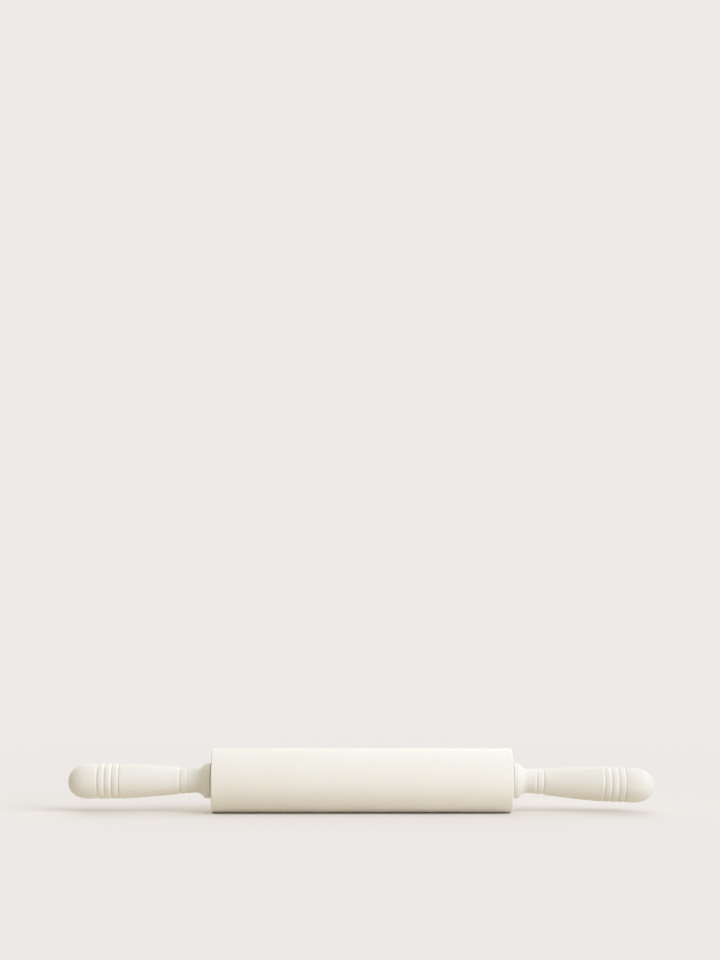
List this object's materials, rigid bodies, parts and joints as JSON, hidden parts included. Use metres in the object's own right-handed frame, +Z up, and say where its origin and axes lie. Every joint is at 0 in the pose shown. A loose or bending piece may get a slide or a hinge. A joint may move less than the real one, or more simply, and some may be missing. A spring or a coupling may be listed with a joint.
{
  "type": "rolling pin",
  "caption": "Rolling pin with a soft-sleeved barrel on a sealed hollow core and turned, beaded handles that each spin freely on a steel spindle.",
  "frame": {"origin": "centre of the barrel, on its axis and halfway between its end faces", "axes": "+X along the barrel's axis towards the right handle as pictured, +Y away from the picture's viewer, +Z up with the barrel lying on a worktop"},
  "size_m": [0.4499, 0.049, 0.049],
  "materials": {
    "sleeve_silicone": "satin ivory silicone",
    "handle_plastic": "satin ivory moulded plastic",
    "cap_plastic": "satin ivory moulded plastic",
    "core_aluminium": "drawn tube, as it comes",
    "spindle_steel": "turned stainless steel",
    "insert_brass": "turned and knurled brass",
    "bush_nylon": "natural nylon"
  },
  "bodies": {
    "barrel": {"silicone_sleeve": "sleeve_silicone", "core_tube": "core_aluminium", "left_end_cap": "cap_plastic", "left_threaded_insert": "insert_brass", "left_spindle": "spindle_steel", "left_thrust_washer": "bush_nylon", "left_head_washer": "spindle_steel", "right_end_cap": "cap_plastic", "right_threaded_insert": "insert_brass", "right_spindle": "spindle_steel", "right_thrust_washer": "bush_nylon", "right_head_washer": "spindle_steel"},
    "left_handle": {"left_handle_body": "handle_plastic", "left_dome_cap": "handle_plastic", "left_inner_bush": "bush_nylon", "left_outer_bush": "bush_nylon"},
    "right_handle": {"right_handle_body": "handle_plastic", "right_dome_cap": "handle_plastic", "right_inner_bush": "bush_nylon", "right_outer_bush": "bush_nylon"}
  },
  "joints": [
    {"name": "left_handle_spin", "type": "hinge", "parent": "barrel", "child": "left_handle", "pos_m": [-0.115, 0, 0], "axis": [-1, 0, -0.007], "continuous": true},
    {"name": "right_handle_spin", "type": "hinge", "parent": "barrel", "child": "right_handle", "pos_m": [0.115, 0, 0], "axis": [0.9992, 0, -0.0393], "continuous": true}
  ]
}
